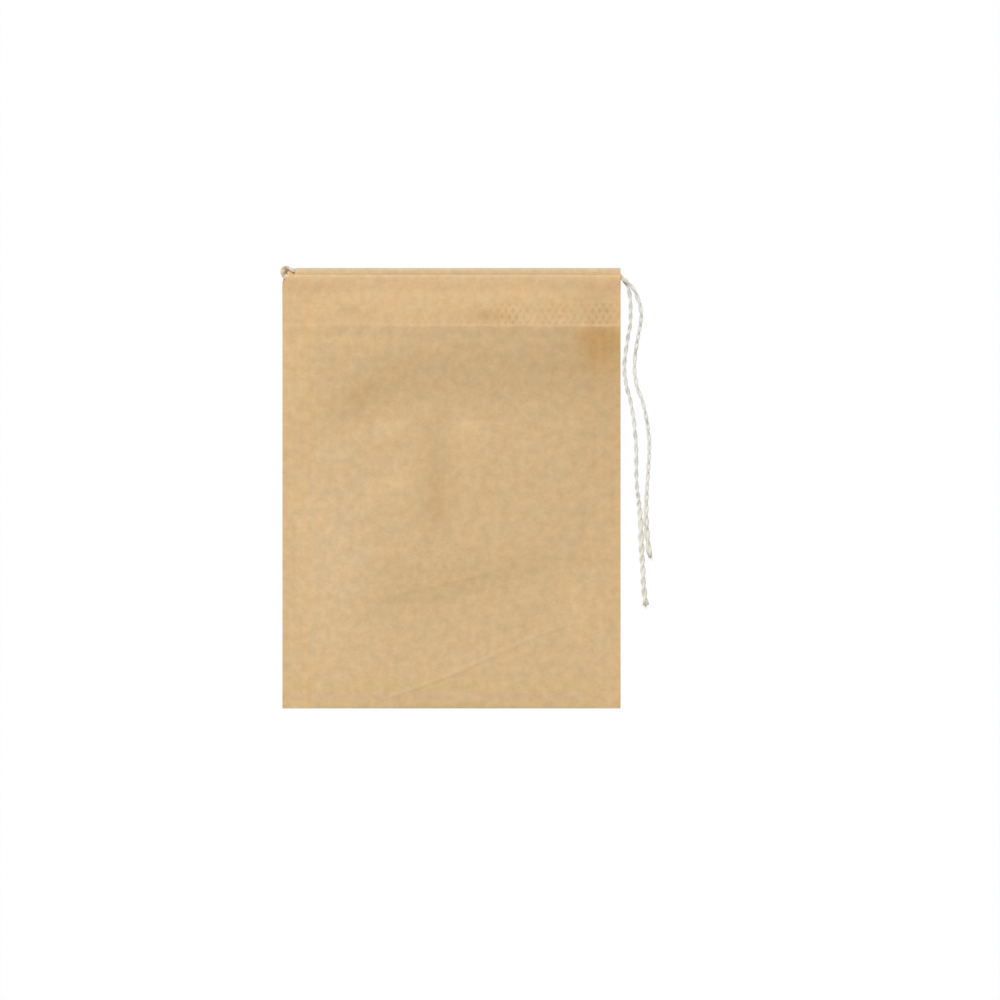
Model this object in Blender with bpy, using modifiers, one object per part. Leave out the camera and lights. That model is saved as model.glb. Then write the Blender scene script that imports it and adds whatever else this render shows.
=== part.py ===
"""Paper tea filter, lying flat: a folded bag of unbleached filter paper with a cotton drawstring.

Metres, +Z up. X runs across the bag, its mouth is towards +Y and its front wall faces up. The
origin is on the table, under the middle of the bag. One strip of paper makes the whole bag: it
starts as the back flap, turns over the string at the mouth, runs down the back wall, folds at
the bottom, comes up the front wall and turns over the string again into the front flap. Heat
seals close both sides and hold each flap to its wall.
"""

import math

import bmesh
import bpy
import numpy as np

MM = 0.001

# The bag's outline, with the front wall's top edge a step below the back wall's
BAG_WIDTH = 70.0 * MM
BAG_HEIGHT = 91.2 * MM
FRONT_STEP = 1.45 * MM

# The paper and its seals
PAPER = 0.12 * MM
SEAL_GAP = 0.04 * MM
SIDE_SEAL = 5.4 * MM
HEM_SEAL = 4.9 * MM
EDGE_MARGIN = 0.1 * MM
SIDE_BITE = 0.6
HEM_BITE = 0.4

# The hem's channels and the string in them
CHANNEL = 5.7 * MM
CHANNEL_FLAT = 1.7 * MM
STRING_DIAMETER = 0.8 * MM
STRING_CLEARANCE = 0.08 * MM
MOUTH_GAP = 0.1 * MM
NOTCH_WIDTH = 2.8 * MM
WALL_NOTCH_DEPTH = 3.0 * MM
FLAP_NOTCH_DEPTH = 4.5 * MM
FRONT_CORNER = 2.8 * MM

# The bottom fold, and the step from the hem down to the front wall
FOLD_GAP = 0.28 * MM
FOLD_EASE = 2.5 * MM
HEM_DROP = 2.6 * MM

# The front wall's swell over the empty bag
PUFF = 0.75 * MM
PUFF_RISE = 7.0 * MM
PUFF_SPREAD = 14.0 * MM
MOUTH_LIFT = 0.8 * MM
MOUTH_REACH = 9.0 * MM
MOUTH_SETTLE = 0.75
# Each hollow or swell: centre x and y, reach along and across, turn in degrees, height
SWELLS = (
    (9.0, 16.0, 20.0, 6.5, 0.0, -0.34),
    (-19.0, 22.0, 13.0, 4.5, 35.0, 0.22),
    (1.0, 2.0, 9.0, 3.6, 88.0, -0.24),
    (3.0, -12.0, 24.0, 5.0, 13.0, 0.32),
    (5.0, -23.0, 22.0, 4.5, 15.0, -0.22),
    (-22.0, -14.0, 12.0, 4.0, 80.0, 0.12),
    (18.0, -33.0, 16.0, 4.0, 22.0, 0.16),
)

# The string's free tails lie on the table. Their routes are measured across from the bag's
# right edge and down from the top of the back wall, in millimetres
TABLE_GAP = 0.02 * MM
FRONT_TAIL = (
    (0.95, 2.60), (1.90, 3.45), (2.85, 4.70), (3.70, 6.62), (4.25, 9.10), (4.20, 11.05),
    (3.78, 13.45), (3.28, 16.04), (2.86, 20.12), (3.10, 23.08), (3.60, 25.25), (4.42, 27.30),
    (5.28, 30.78), (5.88, 35.20), (5.95, 38.07), (5.75, 40.93), (5.60, 43.40), (5.45, 46.00),
    (5.32, 49.20), (5.32, 52.60), (5.48, 55.20), (5.78, 57.60), (6.10, 59.80),
)
BACK_TAIL = (
    (0.90, 2.75), (1.65, 4.20), (2.02, 6.60), (2.08, 9.20), (2.00, 11.61), (1.58, 14.01),
    (1.26, 16.22), (0.88, 18.63), (0.76, 20.68), (0.95, 22.70), (1.40, 25.25), (2.00, 27.30),
    (2.70, 31.42), (3.12, 35.23), (3.25, 39.02), (3.25, 43.00), (3.48, 46.00), (3.95, 50.00),
    (4.15, 53.40), (4.32, 57.20), (4.50, 61.40), (4.72, 65.00), (5.20, 69.80),
)
TAIL_SPACING = 2.5 * MM
FRONT_DESCENT = 11.0 * MM
BACK_DESCENT = 5.0 * MM
BACK_STRING_DROP = 0.9 * MM

# The string's turn at the hem's left end stands a little past the bag's side and top. Its
# points are shares of the way out from the channels, and of the way across from front to back
TURN_OUT = 0.45 * MM
TURN_RISE = 0.4 * MM
TURN_SPACING = 0.45 * MM
TURN_FROM_BACK = ((0.18, 0.05), (0.36, 0.5), (0.58, 0.95), (0.80, 0.85))
TURN_FROM_FRONT = ((0.995, 0.66), (0.97, 0.40), (0.86, 0.18), (0.70, 0.04), (0.52, 0.0))

PAPER_COLOUR = (0.651, 0.451, 0.242, 1.0)
STRING_COLOUR = (0.838, 0.807, 0.716, 1.0)

# What follows from the sizes above
HALF_WIDTH = BAG_WIDTH / 2
TOP = BAG_HEIGHT / 2
BOTTOM = -BAG_HEIGHT / 2
FRONT_TOP = TOP - FRONT_STEP
LAYER = PAPER + SEAL_GAP
TABLE_LAYER = PAPER / 2
CHANNEL_HEIGHT = STRING_DIAMETER + 2 * STRING_CLEARANCE + PAPER
HEM_RADIUS = CHANNEL_HEIGHT / 2
FLAP = CHANNEL + HEM_SEAL
SEAL_LINE = HALF_WIDTH - SIDE_SEAL


def ease(value):
    """0 up to 0, 1 from 1 on, and smooth between."""
    value = min(max(value, 0.0), 1.0)
    return value * value * (3.0 - 2.0 * value)


def hem_height(depth):
    """From a wall to its flap, between the middles of the paper, at a depth below the fold."""
    closing = ease((depth - CHANNEL_FLAT) / (CHANNEL - CHANNEL_FLAT))
    return CHANNEL_HEIGHT + (LAYER - CHANNEL_HEIGHT) * closing


def swell(x, y):
    """How far the front layers stand above the height at which the side seals hold them."""
    inside = min(max((SEAL_LINE - abs(x)) / PUFF_SPREAD, 0.0), 1.0)
    if inside == 0.0:
        return 0.0
    height = PUFF * (1.0 - math.exp(-max(y - BOTTOM, 0.0) / PUFF_RISE))
    below_hem = (y - (FRONT_TOP - FLAP)) / MOUTH_REACH
    height += MOUTH_LIFT * math.exp(-below_hem * below_hem)
    for centre_x, centre_y, along, across, turn, rise in SWELLS:
        angle = math.radians(turn)
        from_x = x / MM - centre_x
        from_y = y / MM - centre_y
        u = (from_x * math.cos(angle) + from_y * math.sin(angle)) / along
        v = (from_y * math.cos(angle) - from_x * math.sin(angle)) / across
        height += rise * MM * math.exp(-u * u - v * v)
    settled = 1.0 - MOUTH_SETTLE * ease((y - (FRONT_TOP - CHANNEL)) / CHANNEL)
    return height * math.sin(math.pi / 2 * inside) * settled


def back_flap_z(y):
    return TABLE_LAYER + hem_height(TOP - y)


def front_flap_z(x, y):
    """The front flap rides on the back flap, with the bag's mouth between them."""
    above_seal = ease((y - (FRONT_TOP - CHANNEL)) / (CHANNEL / 2))
    mouth = SEAL_GAP + (MOUTH_GAP - SEAL_GAP) * above_seal
    return back_flap_z(y) + PAPER + mouth + swell(x, y)


def front_wall_z(x, y):
    """The front wall rides on its flap in the hem, and steps down to the back wall below it."""
    hem_end = FRONT_TOP - FLAP
    if y >= hem_end:
        return front_flap_z(x, y) + hem_height(FRONT_TOP - y)
    layers = 1.0 + 2.0 * ease((y - hem_end + HEM_DROP) / HEM_DROP)
    fold = (FOLD_GAP - LAYER) * (1.0 - ease((y - BOTTOM) / FOLD_EASE))
    return TABLE_LAYER + LAYER * layers + fold + swell(x, y)


def back_wall_notch(depth):
    """The string's turn draws in the back wall's left corner, from its top down."""
    return NOTCH_WIDTH * max(0.0, 1.0 - max(depth, 0.0) / WALL_NOTCH_DEPTH) ** 2


def front_wall_notch(depth):
    """The front wall's left corner is only rounded."""
    short_of = min(max(FRONT_CORNER - depth, 0.0), FRONT_CORNER)
    return FRONT_CORNER - math.sqrt(FRONT_CORNER**2 - short_of**2)


def flap_notch(depth):
    """The flaps' corners are drawn in further, so the string passes clear of their ends."""
    return NOTCH_WIDTH * max(0.0, 1.0 - (max(depth, 0.0) / FLAP_NOTCH_DEPTH) ** 2)


def drawn_in(x, notch):
    return x + notch * ease((-x - SEAL_LINE) / SIDE_SEAL)


def on_back_flap(x, y):
    return (drawn_in(x, flap_notch(TOP - y)), y, back_flap_z(y))


def on_back_wall(x, y):
    return (drawn_in(x, back_wall_notch(TOP - y)), y, TABLE_LAYER)


def on_front_wall(x, y):
    return (drawn_in(x, front_wall_notch(FRONT_TOP - y)), y, front_wall_z(x, y))


def on_front_flap(x, y):
    return (drawn_in(x, flap_notch(FRONT_TOP - y)), y, front_flap_z(x, y))


def on_back_fold(x, degrees):
    """Round the string at the back wall's top, from 90 at the flap to -90 at the wall."""
    angle = math.radians(degrees)
    y = TOP - PAPER / 2 - HEM_RADIUS + HEM_RADIUS * math.cos(angle)
    z = TABLE_LAYER + HEM_RADIUS + HEM_RADIUS * math.sin(angle)
    notch = flap_notch if degrees > 0 else back_wall_notch
    return (drawn_in(x, notch(TOP - PAPER / 2 - y)), y, z)


def on_front_fold(x, degrees):
    """Round the string at the front wall's top, from 90 at the wall to -90 at the flap."""
    angle = math.radians(degrees)
    centre_y = FRONT_TOP - PAPER / 2 - HEM_RADIUS
    y = centre_y + HEM_RADIUS * math.cos(angle)
    z = front_flap_z(x, centre_y) + HEM_RADIUS + HEM_RADIUS * math.sin(angle)
    notch = flap_notch if degrees < 0 else front_wall_notch
    return (drawn_in(x, notch(FRONT_TOP - PAPER / 2 - y)), y, z)


def on_bottom_fold(x, degrees):
    """Round the bottom edge, from -90 at the back wall to 90 at the front wall."""
    angle = math.radians(degrees)
    radius = FOLD_GAP / 2
    y = BOTTOM + PAPER / 2 + radius - radius * math.cos(angle)
    return (x, y, TABLE_LAYER + radius + radius * math.sin(angle))


def columns_across():
    """Where the paper bends across its width: close together at the seals' inner lines."""
    seal = np.linspace(SEAL_LINE, HALF_WIDTH, 5)
    spread = SEAL_LINE - PUFF_SPREAD * np.array([0.9, 0.68, 0.48, 0.3, 0.14])
    middle = np.linspace(0.0, SEAL_LINE - PUFF_SPREAD * 1.1, 7)
    right = np.concatenate([middle, spread, seal])
    return [float(x) for x in np.concatenate([-right[:0:-1], right])]


def hem_rows(top):
    """Heights in a hem, from the tangent of its fold down to the flap's edge."""
    tangent = top - PAPER / 2 - HEM_RADIUS
    bulge = top - CHANNEL_FLAT
    seal = top - CHANNEL
    closing = [bulge + (seal - bulge) * share for share in (0.25, 0.5, 0.75)]
    return [tangent, bulge, *closing, seal, seal - HEM_SEAL / 2, seal - HEM_SEAL]


def stations_round():
    """The strip's stations in order, from the back flap's edge to the front flap's edge."""
    arc = (72, 54, 36, 18, 0, -18, -36, -54, -72)
    back_hem = hem_rows(TOP)
    front_hem = hem_rows(FRONT_TOP)
    fold_end = BOTTOM + PAPER / 2 + FOLD_GAP / 2
    hem_end = front_hem[-1]
    drop = [hem_end - HEM_DROP * share for share in (1.0, 0.66, 0.33)]
    wall_end = fold_end + FOLD_EASE
    wall = list(np.linspace(wall_end, hem_end - HEM_DROP - 1.5 * MM, 24))
    stations = [(on_back_flap, y) for y in reversed(back_hem)]
    stations += [(on_back_fold, degrees) for degrees in arc]
    stations += [(on_back_wall, y) for y in (back_hem[0], back_hem[1], back_hem[3])]
    stations += [(on_back_wall, y) for y in (back_hem[5], back_hem[7], 0.0, wall_end)]
    stations += [(on_back_wall, fold_end)]
    stations += [(on_bottom_fold, degrees) for degrees in (-45, 0, 45)]
    stations += [(on_front_wall, y) for y in (fold_end, fold_end + FOLD_EASE / 2)]
    stations += [(on_front_wall, float(y)) for y in wall]
    stations += [(on_front_wall, y) for y in drop]
    stations += [(on_front_wall, y) for y in reversed(front_hem)]
    stations += [(on_front_fold, degrees) for degrees in arc]
    stations += [(on_front_flap, y) for y in front_hem]
    return stations


def new_collection(name):
    collection = bpy.data.collections.new(name)
    bpy.context.scene.collection.children.link(collection)
    return collection


def material(name, colour, roughness):
    made = bpy.data.materials.new(name)
    made.use_nodes = True
    shader = made.node_tree.nodes["Principled BSDF"]
    shader.inputs["Base Color"].default_value = colour
    shader.inputs["Roughness"].default_value = roughness
    shader.inputs["Metallic"].default_value = 0.0
    return made


def placed_grid(name, columns, rows, place, collection):
    """A flat grid with its columns and rows laid where place puts them."""
    grid = bmesh.new()
    across = len(columns) - 1
    along = len(rows) - 1
    bmesh.ops.create_grid(grid, x_segments=across, y_segments=along, size=0.5)
    for vert in grid.verts:
        column = columns[round((vert.co.x + 0.5) * across)]
        row = rows[round((vert.co.y + 0.5) * along)]
        vert.co = place(column, row)
    mesh = bpy.data.meshes.new(name)
    grid.to_mesh(mesh)
    grid.free()
    made = bpy.data.objects.new(name, mesh)
    collection.objects.link(made)
    return made


def seal_block(name, columns, rows, floor, roof, collection):
    """A closed block that fuses the layers between two surfaces, over a range of x and y."""
    made = placed_grid(name, columns, rows, lambda x, y: (x, y, floor(x, y)), collection)
    block = bmesh.new()
    block.from_mesh(made.data)
    raised = bmesh.ops.extrude_face_region(block, geom=block.faces[:])
    for item in raised["geom"]:
        if isinstance(item, bmesh.types.BMVert):
            item.co.z = roof(item.co.x, item.co.y)
    bmesh.ops.recalc_face_normals(block, faces=block.faces[:])
    block.to_mesh(made.data)
    block.free()
    made.hide_render = True
    made.display_type = "WIRE"
    return made


def seal_blocks(columns, collection):
    """The two side seals through all the layers, and one seal along each flap."""
    into_side = PAPER * (SIDE_BITE - 0.5)
    into_hem = PAPER * (HEM_BITE - 0.5)
    margin = EDGE_MARGIN
    back_hem = hem_rows(TOP)
    front_hem = hem_rows(FRONT_TOP)
    side_rows = [value for maker, value in stations_round() if maker is on_front_wall]
    side_rows = [y for y in side_rows if BOTTOM + FOLD_GAP < y < front_hem[5] - margin]
    side_rows = [*side_rows, front_hem[5] - 2 * margin]
    outer = HALF_WIDTH - margin
    blocks = []
    for name, side in (("seal_left", -1), ("seal_right", 1)):
        inner = [x for x in columns if SEAL_LINE + margin < side * x < outer - margin]
        reach = sorted([side * (SEAL_LINE + margin / 2), *inner, side * outer])
        blocks.append(
            seal_block(
                name,
                reach,
                side_rows,
                lambda x, y: TABLE_LAYER - into_side,
                lambda x, y: front_wall_z(x, y) + into_side,
                collection,
            )
        )
    ends = HALF_WIDTH - 2 * margin
    along = [-ends, *[x for x in columns if abs(x) < ends - margin], ends]
    blocks.append(
        seal_block(
            "seal_back_flap",
            along,
            [back_hem[7] + margin, back_hem[6], back_hem[5] - margin],
            lambda x, y: TABLE_LAYER - into_hem,
            lambda x, y: back_flap_z(y) + into_hem,
            collection,
        )
    )
    blocks.append(
        seal_block(
            "seal_front_flap",
            along,
            [front_hem[7] + margin, front_hem[6], front_hem[5] - margin],
            lambda x, y: front_flap_z(x, y) - into_hem,
            lambda x, y: front_wall_z(x, y) + into_hem,
            collection,
        )
    )
    return blocks


def make_bag(collection, helpers):
    columns = columns_across()
    bag = placed_grid(
        "filter_bag",
        columns,
        stations_round(),
        lambda x, station: station[0](x, station[1]),
        collection,
    )
    bag.data.materials.append(material("unbleached_filter_paper", PAPER_COLOUR, 0.9))
    bag.data.shade_smooth()
    thicken = bag.modifiers.new("paper_thickness", "SOLIDIFY")
    thicken.thickness = PAPER
    thicken.offset = 0.0
    thicken.use_even_offset = True
    for block in seal_blocks(columns, helpers):
        fuse = bag.modifiers.new(block.name, "BOOLEAN")
        fuse.operation = "UNION"
        fuse.solver = "EXACT"
        fuse.object = block
    return bag


def smooth_route(points, spacing):
    """Even steps along a smooth curve through the points, from the first to the last."""
    route = np.array(points, dtype=float)
    padded = np.vstack([2 * route[0] - route[1], route, 2 * route[-1] - route[-2]])
    curve = []
    for a, b, c, d in zip(padded, padded[1:], padded[2:], padded[3:]):
        for share in np.linspace(0.0, 1.0, 12, endpoint=False):
            bend = 2 * a - 5 * b + 4 * c - d
            turn = 3 * b - a - 3 * c + d
            curve.append(0.5 * (2 * b + (c - a) * share + bend * share**2 + turn * share**3))
    curve = np.array([*curve, route[-1]])
    reach = np.concatenate([[0.0], np.cumsum(np.linalg.norm(np.diff(curve, axis=0), axis=1))])
    steps = np.linspace(0.0, reach[-1], round(reach[-1] / spacing) + 1)
    return np.column_stack([np.interp(steps, reach, curve[:, axis]) for axis in range(3)])


def tail_points(start, offsets, descent):
    """A tail's route: out of its channel's end, down to the table and along it."""
    rest_z = STRING_DIAMETER / 2 + TABLE_GAP
    points = [start]
    gone = 0.0
    for across, down in offsets:
        x = HALF_WIDTH + across * MM
        y = TOP - down * MM
        gone += math.hypot(x - points[-1][0], y - points[-1][1])
        z = rest_z + (start[2] - rest_z) * (1.0 - ease(gone / descent))
        points.append((x, y, z))
    return points


def turn_route(front_end, back_end):
    """From the front channel's left end round to the back channel's, without the two ends."""
    out = front_end[0] + HALF_WIDTH + TURN_OUT - STRING_DIAMETER / 2
    rise = TOP + TURN_RISE - STRING_DIAMETER / 2 - back_end[1]
    depth = back_end[1] + rise - front_end[1]
    plan = [front_end]
    for outward, across in reversed(TURN_FROM_FRONT):
        plan.append((front_end[0] - out * outward, front_end[1] + depth * across, 0.0))
    for outward, across in reversed(TURN_FROM_BACK):
        plan.append((back_end[0] - out * outward, back_end[1] + rise * across, 0.0))
    route = smooth_route([*plan, back_end], TURN_SPACING)
    climb = np.linspace(1.0, 0.0, len(route))
    for point, share in zip(route, climb):
        point[2] = back_end[2] + (front_end[2] - back_end[2]) * ease((share - 0.25) / 0.5)
    return route[1:-1]


def string_route():
    """Both channels, the turn at the left end and the two tails at the right, as one path."""
    front_y = FRONT_TOP - PAPER / 2 - HEM_RADIUS
    back_left_y = TOP - PAPER / 2 - HEM_RADIUS
    back_z = TABLE_LAYER + HEM_RADIUS
    left = -HALF_WIDTH + NOTCH_WIDTH
    inside = [left, -SEAL_LINE, -SEAL_LINE + 0.4 * PUFF_SPREAD, -SEAL_LINE + PUFF_SPREAD]
    inside += [0.0, SEAL_LINE - PUFF_SPREAD, SEAL_LINE - 0.4 * PUFF_SPREAD, SEAL_LINE]

    def in_front(x):
        return (x, front_y, front_flap_z(x, front_y) + HEM_RADIUS)

    def in_back(x):
        share = (x - left) / (HALF_WIDTH - left)
        return (x, back_left_y - BACK_STRING_DROP * share, back_z)

    front_exit = in_front(HALF_WIDTH)
    back_exit = in_back(HALF_WIDTH)
    front_tail = smooth_route(tail_points(front_exit, FRONT_TAIL, FRONT_DESCENT), TAIL_SPACING)
    back_tail = smooth_route(tail_points(back_exit, BACK_TAIL, BACK_DESCENT), TAIL_SPACING)
    front = np.array([in_front(x) for x in reversed(inside)])
    back = np.array([in_back(x) for x in inside])
    return np.vstack([front_tail[::-1], front, turn_route(front[-1], back[0]), back, back_tail])


def make_string(collection):
    route = string_route()
    curve = bpy.data.curves.new("drawstring", "CURVE")
    curve.dimensions = "3D"
    curve.bevel_depth = STRING_DIAMETER / 2
    curve.bevel_resolution = 2
    curve.use_fill_caps = True
    spline = curve.splines.new("POLY")
    spline.points.add(len(route) - 1)
    for point, place in zip(spline.points, route):
        point.co = (*place, 1.0)
    curve.materials.append(material("cotton_string", STRING_COLOUR, 0.85))
    string = bpy.data.objects.new("drawstring", curve)
    collection.objects.link(string)
    return string


def main():
    for old in list(bpy.data.objects):
        bpy.data.objects.remove(old, do_unlink=True)
    parts = new_collection("paper_tea_filter")
    helpers = new_collection("seal_helpers")
    make_bag(parts, helpers)
    make_string(parts)


main()
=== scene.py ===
# %% [markdown]
# # A paper tea filter with a cotton drawstring
# This lesson dresses a plain CAD model of an empty tea filter. The bag is one strip of unbleached
# filter paper that is folded, hemmed over a string and heat sealed, and it lies flat on a table.
# The CAD model comes in first, as a fixed frame. Every piece made here is in metres and in the
# same place as the solid that it stands for, so nothing has to be fitted by eye.

# %% Load the frame
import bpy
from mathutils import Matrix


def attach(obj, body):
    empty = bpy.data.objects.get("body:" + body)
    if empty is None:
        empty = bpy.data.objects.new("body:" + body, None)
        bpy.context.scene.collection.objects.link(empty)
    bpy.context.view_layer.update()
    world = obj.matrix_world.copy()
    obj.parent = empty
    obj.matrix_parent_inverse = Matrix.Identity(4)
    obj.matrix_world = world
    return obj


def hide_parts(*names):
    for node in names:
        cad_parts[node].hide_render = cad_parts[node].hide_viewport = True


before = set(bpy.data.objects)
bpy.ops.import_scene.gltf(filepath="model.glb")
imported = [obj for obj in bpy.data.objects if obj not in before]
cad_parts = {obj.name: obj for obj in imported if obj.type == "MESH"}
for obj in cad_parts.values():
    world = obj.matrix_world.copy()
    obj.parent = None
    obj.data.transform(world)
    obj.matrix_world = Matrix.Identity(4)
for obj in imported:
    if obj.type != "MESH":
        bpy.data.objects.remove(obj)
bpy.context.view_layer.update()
print("CAD nodes:", sorted(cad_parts))

# %% Blender's modules and a clear selection
import math

import bpy
import numpy as np

MM = 0.001
bpy.ops.object.select_all(action="DESELECT")
bpy.context.view_layer.objects.active = None
print("Blender", bpy.app.version_string)

# %% [markdown]
# ## The camera
# The photograph looks straight down on the bag from well above, so the far and the near side of
# the bag come out equally large. A long lens a good metre away does that. One pixel of the
# 1000 pixel frame covers the bag's 70 mm width divided by the 338 pixels that it takes up, and
# the bag lies left of the middle and a little above it.

# %% The camera over the table
BAG_WIDTH = 70.0 * MM
BAG_PIXELS = 338.0
BAG_CENTRE_PIXEL = (451.5, 488.25)
FRAME_PIXELS = 1000.0
FRAME_WIDTH = BAG_WIDTH / BAG_PIXELS * FRAME_PIXELS
CAMERA_HEIGHT = 1.2
SENSOR_WIDTH = 36.0

pixel = FRAME_WIDTH / FRAME_PIXELS
camera_x = (FRAME_PIXELS / 2 - BAG_CENTRE_PIXEL[0]) * pixel
camera_y = (BAG_CENTRE_PIXEL[1] - FRAME_PIXELS / 2) * pixel
bpy.ops.object.camera_add(location=(camera_x, camera_y, CAMERA_HEIGHT), rotation=(0, 0, 0))
camera = bpy.context.object
camera.name = "camera_above"
camera.data.sensor_width = SENSOR_WIDTH
camera.data.lens = SENSOR_WIDTH * CAMERA_HEIGHT / FRAME_WIDTH
bpy.context.scene.camera = camera
print("frame width at the table, mm:", round(1000 * FRAME_WIDTH, 1))

# %% [markdown]
# ## Sizes of the bag
# These are the real sizes that the CAD model was built from. The paper is drawn with the same
# folds here, only with a far finer mesh, so each surface lands where the solid has it.

# %% Sizes
BAG_HEIGHT = 91.2 * MM
FRONT_STEP = 1.45 * MM
PAPER = 0.12 * MM
SEAL_GAP = 0.04 * MM
SIDE_SEAL = 5.4 * MM
HEM_SEAL = 4.9 * MM
CHANNEL = 5.7 * MM
CHANNEL_FLAT = 1.7 * MM
STRING_DIAMETER = 0.8 * MM
STRING_CLEARANCE = 0.08 * MM
MOUTH_GAP = 0.1 * MM
NOTCH_WIDTH = 2.8 * MM
WALL_NOTCH_DEPTH = 3.0 * MM
FLAP_NOTCH_DEPTH = 4.5 * MM
FRONT_CORNER = 2.8 * MM
BACK_CORNER = 0.4 * MM
FOLD_GAP = 0.28 * MM
FOLD_EASE = 2.5 * MM
HEM_DROP = 2.6 * MM

HALF_WIDTH = BAG_WIDTH / 2
TOP = BAG_HEIGHT / 2
BOTTOM = -BAG_HEIGHT / 2
FRONT_TOP = TOP - FRONT_STEP
LAYER = PAPER + SEAL_GAP
TABLE_LAYER = PAPER / 2
CHANNEL_HEIGHT = STRING_DIAMETER + 2 * STRING_CLEARANCE + PAPER
HEM_RADIUS = CHANNEL_HEIGHT / 2
FLAP = CHANNEL + HEM_SEAL
SEAL_LINE = HALF_WIDTH - SIDE_SEAL
print("stack of the hem over both strings, mm:", round(1000 * (2 * CHANNEL_HEIGHT + PAPER), 2))

# %% [markdown]
# ## How high the front wall stands
# An empty bag is never quite flat. The front wall swells a little between the side seals, most
# at the mouth, and it has a few soft hollows from handling. Working this out as a height over
# x and y keeps every layer of the hem and the string in step with it.

# %% The swell of the front wall
PUFF = 0.75 * MM
PUFF_RISE = 7.0 * MM
PUFF_SPREAD = 14.0 * MM
MOUTH_LIFT = 0.8 * MM
MOUTH_REACH = 9.0 * MM
MOUTH_SETTLE = 0.75
# centre x and y, reach along and across, turn in degrees, height: all lengths in millimetres
SWELLS = (
    (9.0, 16.0, 20.0, 6.5, 0.0, -0.34),
    (-19.0, 22.0, 13.0, 4.5, 35.0, 0.22),
    (1.0, 2.0, 9.0, 3.6, 88.0, -0.24),
    (3.0, -12.0, 24.0, 5.0, 13.0, 0.32),
    (5.0, -23.0, 22.0, 4.5, 15.0, -0.22),
    (-22.0, -14.0, 12.0, 4.0, 80.0, 0.12),
    (18.0, -33.0, 16.0, 4.0, 22.0, 0.16),
)


def ease(value):
    """0 up to 0, 1 from 1 on, and smooth between."""
    value = np.clip(value, 0.0, 1.0)
    return value * value * (3.0 - 2.0 * value)


def bell(value, centre, reach):
    """1 at the centre, falling off to 0 on both sides."""
    return np.exp(-(((value - centre) / reach) ** 2))


def soft_spot(x, y, centre_x, centre_y, along, across, turn):
    """1 in the middle of a blurred oval, falling off to 0. Its lengths are in mm."""
    angle = math.radians(turn)
    from_x = x / MM - centre_x
    from_y = y / MM - centre_y
    u = (from_x * math.cos(angle) + from_y * math.sin(angle)) / along
    v = (from_y * math.cos(angle) - from_x * math.sin(angle)) / across
    return np.exp(-u * u - v * v)


def swell(x, y):
    """How far the front layers stand above the height at which the side seals hold them."""
    inside = np.clip((SEAL_LINE - np.abs(x)) / PUFF_SPREAD, 0.0, 1.0)
    height = PUFF * (1.0 - np.exp(-np.maximum(y - BOTTOM, 0.0) / PUFF_RISE))
    height = height + MOUTH_LIFT * bell(y, FRONT_TOP - FLAP, MOUTH_REACH)
    for *place, rise in SWELLS:
        height = height + rise * MM * soft_spot(x, y, *place)
    settled = 1.0 - MOUTH_SETTLE * ease((y - (FRONT_TOP - CHANNEL)) / CHANNEL)
    return height * np.sin(math.pi / 2 * inside) * settled


print("swell in the middle of the mouth, mm:", round(1000 * float(swell(0.0, 0.035)), 2))

# %% [markdown]
# ## The layers of the hem
# Each wall turns over at the top, encloses the string in a channel, and is sealed down on itself
# below the channel. The front hem rides on the back hem, with the mouth of the bag between them.

# %% Heights of the four layers


def hem_height(depth):
    """From a wall to its flap, between the middles of the paper, at a depth below the fold."""
    closing = ease((depth - CHANNEL_FLAT) / (CHANNEL - CHANNEL_FLAT))
    return CHANNEL_HEIGHT + (LAYER - CHANNEL_HEIGHT) * closing


def back_flap_z(y):
    """The height of the back flap, which rests on the string and the back wall."""
    return TABLE_LAYER + hem_height(TOP - y)


def front_flap_z(x, y):
    """The height of the front flap, over the mouth of the bag."""
    above_seal = ease((y - (FRONT_TOP - CHANNEL)) / (CHANNEL / 2))
    mouth = SEAL_GAP + (MOUTH_GAP - SEAL_GAP) * above_seal
    return back_flap_z(y) + PAPER + mouth + swell(x, y)


def front_wall_z(x, y):
    """The height of the front wall, over the hem's layers and below them."""
    hem_end = FRONT_TOP - FLAP
    in_hem = front_flap_z(x, y) + hem_height(FRONT_TOP - y)
    layers = 1.0 + 2.0 * ease((y - hem_end + HEM_DROP) / HEM_DROP)
    fold = (FOLD_GAP - LAYER) * (1.0 - ease((y - BOTTOM) / FOLD_EASE))
    below = TABLE_LAYER + LAYER * layers + fold + swell(x, y)
    return np.where(y >= hem_end, in_hem, below)


print("top of the front hem, mm:", round(1000 * float(front_wall_z(0.0, FRONT_TOP - 0.001)), 2))

# %% [markdown]
# ## The drawstring's route
# The string is one cotton thread. It comes out of the front channel as the short tail and out of
# the back channel as the long tail, and between them it turns round the left end of the hem.
# A thread like this is limp: the tails drop to the table and lie there in loose curves. Their
# points were read off the photograph, across from the bag's right edge and down from its top.

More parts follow.
